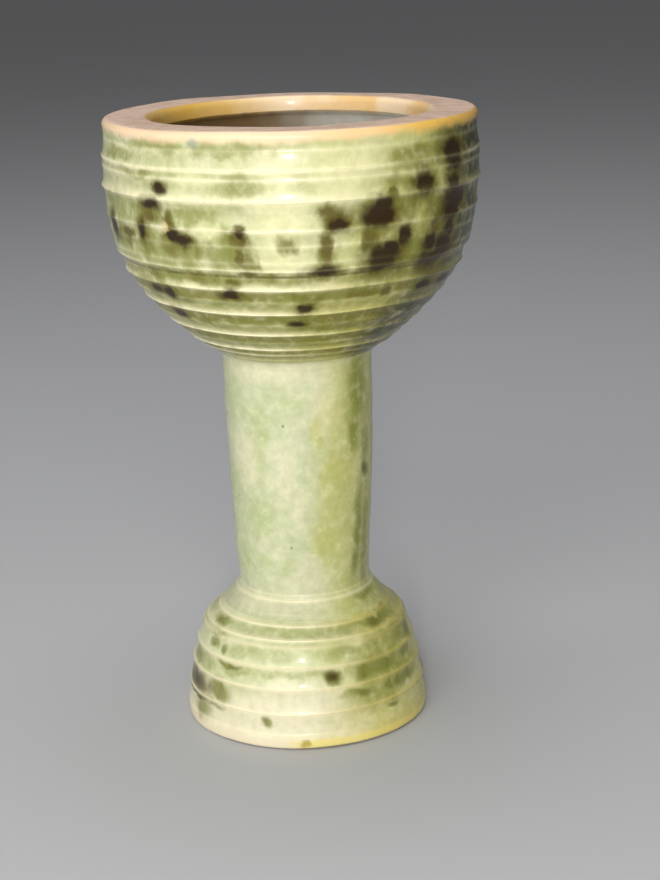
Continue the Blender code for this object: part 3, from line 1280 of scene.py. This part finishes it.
FOOT_GREEN = [
    (-13, 24.8, 12, 5.0),
    (-13, 20.0, 22, 2.6),
    (38, 25.4, 18, 6.0),
    (22, 24.8, 26, 4.0),
    (-66, 19.0, 26, 5.0),
    (-34, 24.6, 26, 3.4),
    (0, 30.0, 100, 2.4),
    (3, 20.0, 8, 2.6),
    (58, 25.0, 30, 6.0),
    (38, 12.4, 36, 8.0),
    (52, 17.4, 44, 5.0),
    (43, 20.0, 40, 13.0),
    (-16, 33.6, 8, 2.4),
    (50, 34.6, 40, 4.0),
    (-40, 19.0, 20, 2.6),
]
AMBER_DROP = [(-2.0, 1.6, 5.6, 2.0)]
print("patches on the foot:", len(FOOT_IRON) + len(FOOT_OLIVE) + len(FOOT_GREEN))

# %% The foot's ground, washes and ridges
FOOT_PALE = tone(222, 223, 184)
FOOT_CELADON = tone(202, 206, 158)
FOOT_IVORY = tone(229, 220, 190)
FOOT_THICK = tone(194, 190, 84)
FOOT_POOL = tone(158, 158, 80)
FOOT_MOSS = tone(156, 164, 102)
FOOT_MOSS_DEEP = tone(124, 129, 40)


def foot_washes(pot, thick):
    colour = pot.mix(pot.patches.step(0.38, 0.62), FOOT_PALE, FOOT_CELADON)
    creamy = (pot.height + (pot.patches - 0.5) * 8).step(20, 12)
    colour = pot.mix(creamy * 0.75, colour, FOOT_IVORY)
    colour = pot.mix(thick * 0.68, colour, FOOT_THICK)
    pools = (pot.pool * (0.2 + pot.mottle * 0.7)).clamped()
    colour = pot.mix(pools * 0.35 * (1.0 - creamy * 0.7), colour, FOOT_POOL)

    green = pot.nearest(FOOT_GREEN + scattered(13, 9, (4, 30), (10, 26), (3, 7)))
    green = washed(pot, green, broken=0.8)
    colour = pot.mix(green * 0.65, colour, pot.mix(thick, FOOT_MOSS, FOOT_MOSS_DEEP))
    colour = flecked(pot, colour)
    olive = pot.nearest(FOOT_OLIVE + scattered(14, 7, (4, 30), (6, 16), (2, 5)))
    olive = washed(pot, olive, broken=0.7)
    return pot.mix(olive * 0.85, colour, pot.mix(pot.flow.step(0.4, 0.75), GREEN, OLIVE))


print(len(FOOT_GREEN) + len(FOOT_OLIVE), "washes on the front of the foot")

# %% Glaze on the foot
FOOT_CREST = tone(250, 238, 200)
FOOT_CREST_THICK = tone(212, 194, 106)
HEM_IVORY = tone(232, 218, 188)
HEM_YELLOW = tone(238, 218, 120)
DROP = tone(160, 136, 34)
CLAY = tone(188, 154, 122)
CLAY_DARK = tone(160, 126, 96)


def foot_glaze():
    pot = Pot("foot_glaze")
    thick = thick_side(pot)
    colour = foot_washes(pot, thick)
    field = pot.nearest(FOOT_IRON + scattered(17, 4, (6, 24), (5, 14), (2, 4.5)), fine=True)
    field = field + (pot.blotch - 0.5) * 0.8
    colour = pot.mix(field.step(2.2, 0.7) * 0.8, colour, pot.mix(pot.mottle, OLIVE, DEEP))
    iron = field.step(1.5, 0.0)
    colour = pot.mix(iron * 0.7, colour, IRON)
    crest = pot.mix(thick, FOOT_CREST, FOOT_CREST_THICK)
    bare = (pot.ridge * (0.6 + pot.mottle * 0.6)).clamped()
    colour = pot.mix(bare * (0.75 - thick * 0.15), colour, crest)

    # The pale hem band is partly the glaze's own yellow edge and partly painted light,
    # which lifts the shade where the edge turns under.
    ragged = pot.height + (pot.mottle - 0.5) * 1.4
    hem = pot.mix(pot.angle.step(-14, 0), HEM_IVORY, HEM_YELLOW)
    colour = pot.mix(ragged.step(3.4, 2.0) * 0.7, colour, hem)
    drop = pot.nearest(AMBER_DROP, fine=True).step(1.4, 0.5)
    colour = pot.mix(drop * 0.7, colour, DROP)
    clay = pot.mix(pot.grain.step(0.4, 0.6), CLAY, CLAY_DARK)
    colour = pot.mix(pot.outside, clay, colour)
    pot.plug(pot.shader.inputs["Base Color"], colour)
    return glaze_skin(pot, ((1.0 - pot.outside) * 0.9 + iron * 0.2).clamped(), 0.05)


foot_finish = foot_glaze()
print("nodes in the foot's glaze:", len(foot_finish.node_tree.nodes))

# %% [markdown]
# ## Slip in the joints
#
# Slip is clay thinned with water, and is the potter's glue. The two rings of it are the
# packed model's own pieces. They could be modelled again, but their shape is right and
# they are hidden in the joints, so they only get the look of fired clay: matt, pale
# brown and sandy.

# %% Fired slip
def fired_slip():
    recipe = Recipe("fired_slip")
    place = recipe.node("ShaderNodeTexCoord", {}, {}, output="Object")
    sand = recipe.noise(place, 0.8, detail=3)
    colour = recipe.mix(sand.step(0.35, 0.65), tone(196, 160, 126), tone(150, 116, 86))
    relief = {"Strength": 1.0, "Distance": 0.1 * MM, "Height": sand}
    bump = recipe.node("ShaderNodeBump", {}, relief)
    recipe.plug(recipe.shader.inputs["Base Color"], colour)
    recipe.plug(recipe.shader.inputs["Roughness"], 0.7 + sand * 0.2)
    recipe.plug(recipe.shader.inputs["Normal"], bump)
    return recipe.material


slip_finish = fired_slip()
for name in ("bowl_joint_slip", "foot_joint_slip"):
    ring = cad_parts[name]
    ring.data.materials.clear()
    ring.data.materials.append(slip_finish)
    print(f"{name}: {len(ring.data.polygons)} faces")

# %% [markdown]
# ## In place of the packed pieces
#
# Each thrown piece gets its glaze, rides on the packed model's one body, and stands for
# the plainer node that it was modelled from. Those nodes are hidden, but a simulation
# still uses them. The stem and its coil share one glaze, so that no seam shows between
# them.

# %% Give each piece its finish and its place in the packed model
def dress(piece, material, node):
    piece.data.materials.clear()
    piece.data.materials.append(material)
    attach(piece, "root")
    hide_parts(node)


dress(bowl, bowl_finish, "bowl")
dress(stem, stem_finish, "stem")
dress(coil, stem_finish, "foot_joint_coil")
dress(foot, foot_finish, "foot")
print("materials:", ", ".join(sorted(m.name for m in bpy.data.materials)))

# %% [markdown]
# ## The light
#
# Glossy things are lit by what they mirror, so the lights are large soft discs. One sun
# lamp would give hard shadows and no shine. The key softbox stands a little left of the
# camera, so the right-hand side turns into shade. A small lamp beside the camera gives
# the row of glints down the middle of the wet glaze. A wide cool fill lifts the left
# edge, and a softbox overhead lights the rim's top and the inside.

# %% Lights: place, size and power
MIDDLE = (0.0, 0.0, 90 * MM)
LIGHTS = {
    "key softbox": ((-0.24, -0.85, 0.46), 0.9, 6.5, (1.0, 0.985, 0.955)),
    "front glint": ((-0.03, -0.62, 0.20), 0.055, 1.2, (1.0, 0.99, 0.96)),
    "left fill": ((-1.0, -0.4, 0.40), 1.0, 2.2, (0.94, 0.97, 1.0)),
    "overhead": ((0.0, 0.15, 1.1), 0.9, 4.4, (1.0, 0.99, 0.98)),
}


def soft_light(name, place, size, power, colour):
    """A disc of light that faces the middle of the chalice."""
    data = bpy.data.lights.new(name, "AREA")
    data.shape = "DISK"
    data.size = size
    data.energy = power
    data.color = colour
    light = bpy.data.objects.new(name, data)
    light.location = place
    aim = Vector(MIDDLE) - Vector(place)
    light.rotation_euler = aim.to_track_quat("-Z", "Y").to_euler()
    bpy.context.scene.collection.objects.link(light)


for name, (place, size, power, colour) in LIGHTS.items():
    soft_light(name, place, size, power, colour)
print("lights:", ", ".join(LIGHTS))

# %% A faint even light from all round
world = bpy.data.worlds.new("studio")
world.use_nodes = True
sky = world.node_tree.nodes["Background"]
sky.inputs["Color"].default_value = (0.9, 0.9, 0.9, 1.0)
sky.inputs["Strength"].default_value = 0.16
bpy.context.scene.world = world
print("background strength:", round(sky.inputs["Strength"].default_value, 2))

# %% [markdown]
# ## The floor
#
# The chalice stands on plain pale paper. A curved backdrop would do as well, but from
# this height a plane that is wide enough reaches past what the camera sees, and there
# is no fold to light. It lies at the lowest point of the foot, which is no longer quite
# at zero once the clay is uneven.

# %% Floor
FLOOR_WIDTH = 24.0
floor_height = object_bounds()[0].z
bpy.ops.object.select_all(action="DESELECT")
bpy.ops.mesh.primitive_plane_add(size=FLOOR_WIDTH, location=(0, 0, floor_height))
floor = bpy.context.object
floor.name = "studio_floor"
paper = bpy.data.materials.new("pale_paper")
paper.use_nodes = True
paper_shader = paper.node_tree.nodes["Principled BSDF"]
paper_shader.inputs["Base Color"].default_value = tone(190, 191, 194)
paper_shader.inputs["Roughness"].default_value = 0.85
floor.data.materials.append(paper)
floor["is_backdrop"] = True
print(f"floor at {floor_height / MM:.2f} mm")

# %% [markdown]
# ## The camera
#
# The camera stands half a metre in front and a little above the rim, so that the mouth
# shows as a thin ellipse. It could be aimed with a Track To constraint, but then it
# couldn't roll. A matrix made of three plain turns says it best: tip the camera up from
# looking straight down, turn it a little, and roll it by a degree and a half, as a
# hand-held camera is.

# %% Camera
CAMERA_PLACE = (0.5 * MM, -497.6 * MM, 216.1 * MM)
PITCH, YAW, ROLL = math.radians(15.72), math.radians(0.89), math.radians(-1.62)
SENSOR_HEIGHT = 36.0
LENS = 77.9
camera_data = bpy.data.cameras.new("camera")
camera_data.sensor_fit = "VERTICAL"
camera_data.sensor_height = SENSOR_HEIGHT
camera_data.lens = LENS
camera_data.clip_start = 0.01
camera = bpy.data.objects.new("camera", camera_data)
tip = Matrix.Rotation(math.radians(90) - PITCH, 4, "X")
turn = Matrix.Rotation(-YAW, 4, "Z") @ tip @ Matrix.Rotation(ROLL, 4, "Z")
camera.matrix_world = Matrix.Translation(CAMERA_PLACE) @ turn
bpy.context.scene.collection.objects.link(camera)
bpy.context.scene.camera = camera
bpy.context.scene.view_settings.view_transform = "Standard"
print(f"camera {math.hypot(*CAMERA_PLACE) / MM:.0f} mm from the foot, lens {LENS} mm")

# %% [markdown]
# ## The sizes
#
# Last, the box of the packed model and the box of what is seen are printed side by
# side. The two could be compared by eye, but numbers show a fraction of a millimetre.

# %% Print the two boxes and finish
sizes = {
    "cad": [list(corner) for corner in cad_box],
    "visual": [list(corner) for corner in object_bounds()],
}
for which, corners in sizes.items():
    print(which, "box in mm:", [[round(v / MM, 2) for v in corner] for corner in corners])
